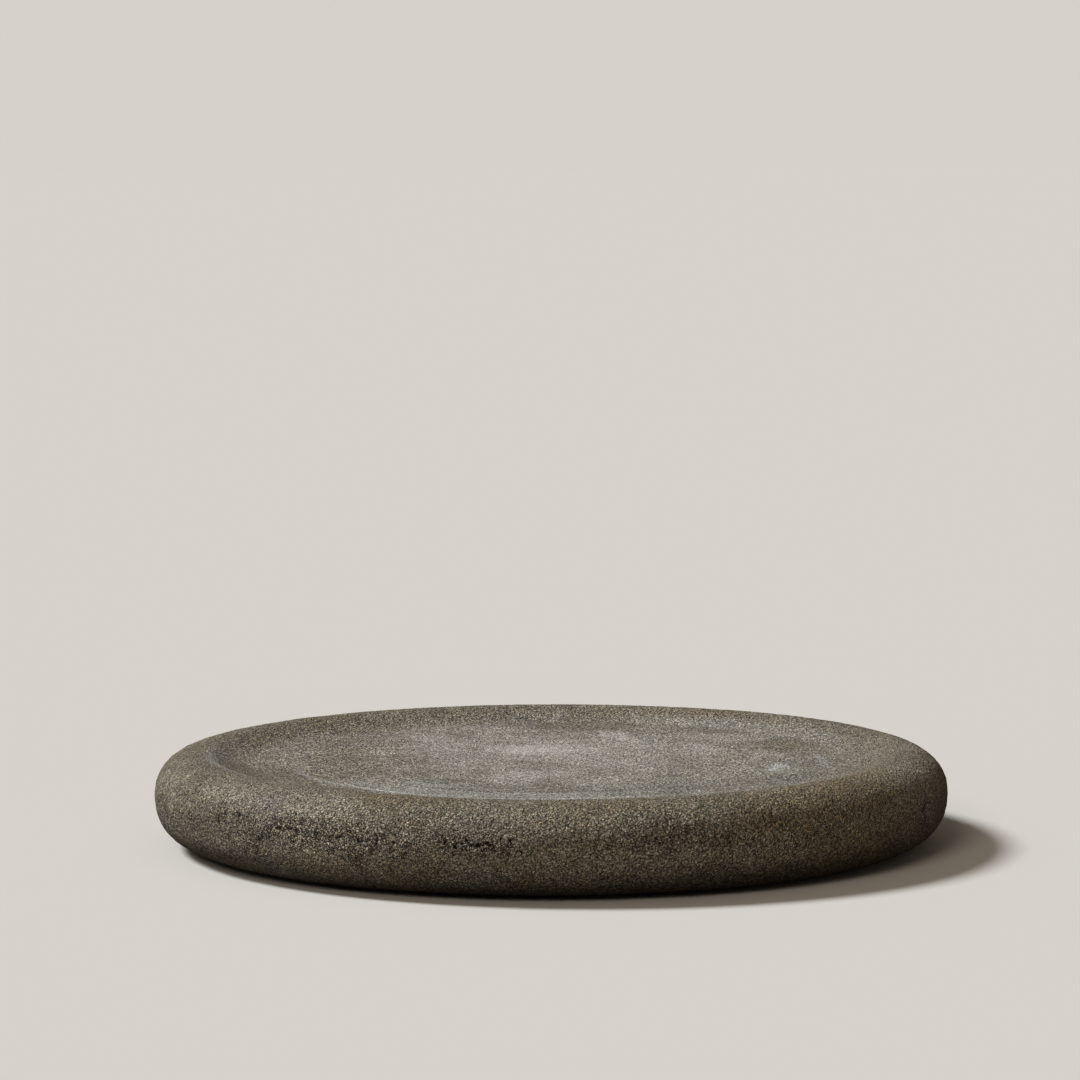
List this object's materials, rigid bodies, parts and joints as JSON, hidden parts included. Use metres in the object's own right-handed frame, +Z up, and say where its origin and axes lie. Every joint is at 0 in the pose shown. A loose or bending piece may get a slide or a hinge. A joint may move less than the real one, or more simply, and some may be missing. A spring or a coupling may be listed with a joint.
{
  "type": "dished stone tray",
  "caption": "Wide round stone tray with a thick rounded rim and a shallow flat-floored dish, standing on small anti-slip pads set into its underside.",
  "frame": {"origin": "middle of the four pads' soles, on the surface that the tray stands on, under the middle of the dish", "axes": "+Z up through the middle of the dish, +X to the right and +Y to the back as the picture sees the tray"},
  "size_m": [0.3, 0.3, 0.0355],
  "materials": {
    "stone": "matte",
    "pads": "matte"
  },
  "bodies": {
    "root": {"stone_tray": "stone", "pad_back_left": "pads", "pad_back_right": "pads", "pad_front_left": "pads", "pad_front_right": "pads"}
  },
  "joints": []
}
